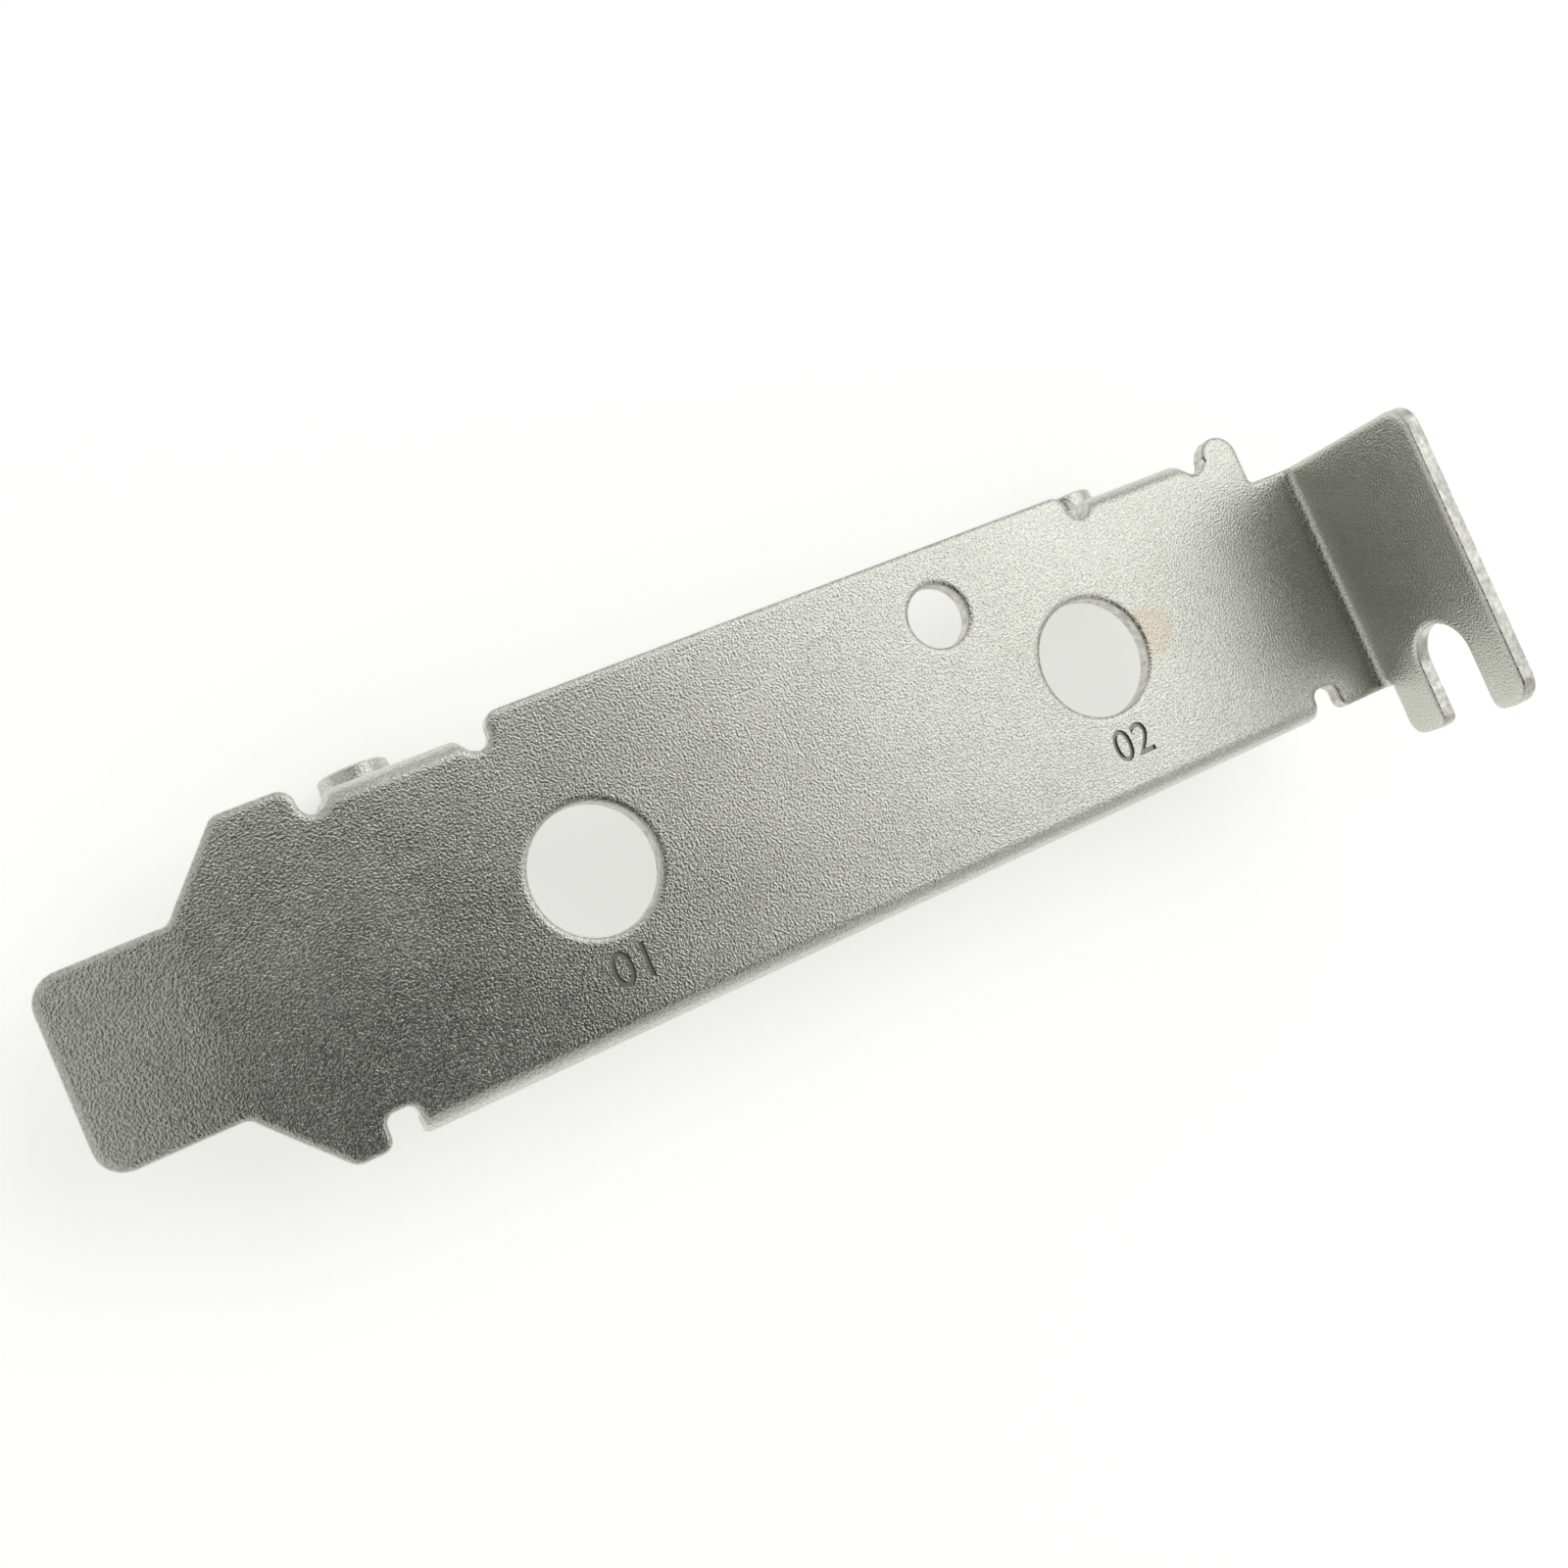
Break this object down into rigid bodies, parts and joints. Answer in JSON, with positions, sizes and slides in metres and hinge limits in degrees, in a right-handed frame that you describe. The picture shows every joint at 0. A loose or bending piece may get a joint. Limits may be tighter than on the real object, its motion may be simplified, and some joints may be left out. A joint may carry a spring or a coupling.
{
  "type": "expansion slot bracket",
  "caption": "Low-profile expansion slot bracket folded from one sheet, with a screw flange, a tongue, threaded board tabs, a stiffening lip and holes for antenna connectors and a light.",
  "frame": {"origin": "centre of the screw slot's round end, on the seat face of the screw flange", "axes": "+X along the bracket from the tongue to the flange and out of the screw slot, +Z out of the plate's outer face, +Y from the lip to the board tabs"},
  "size_m": [0.0792, 0.0225, 0.0206],
  "materials": {
    "nickel_steel": "satin nickel plating on steel sheet, with a fine grain"
  },
  "bodies": {
    "root": {"bracket": "nickel_steel"}
  },
  "joints": []
}
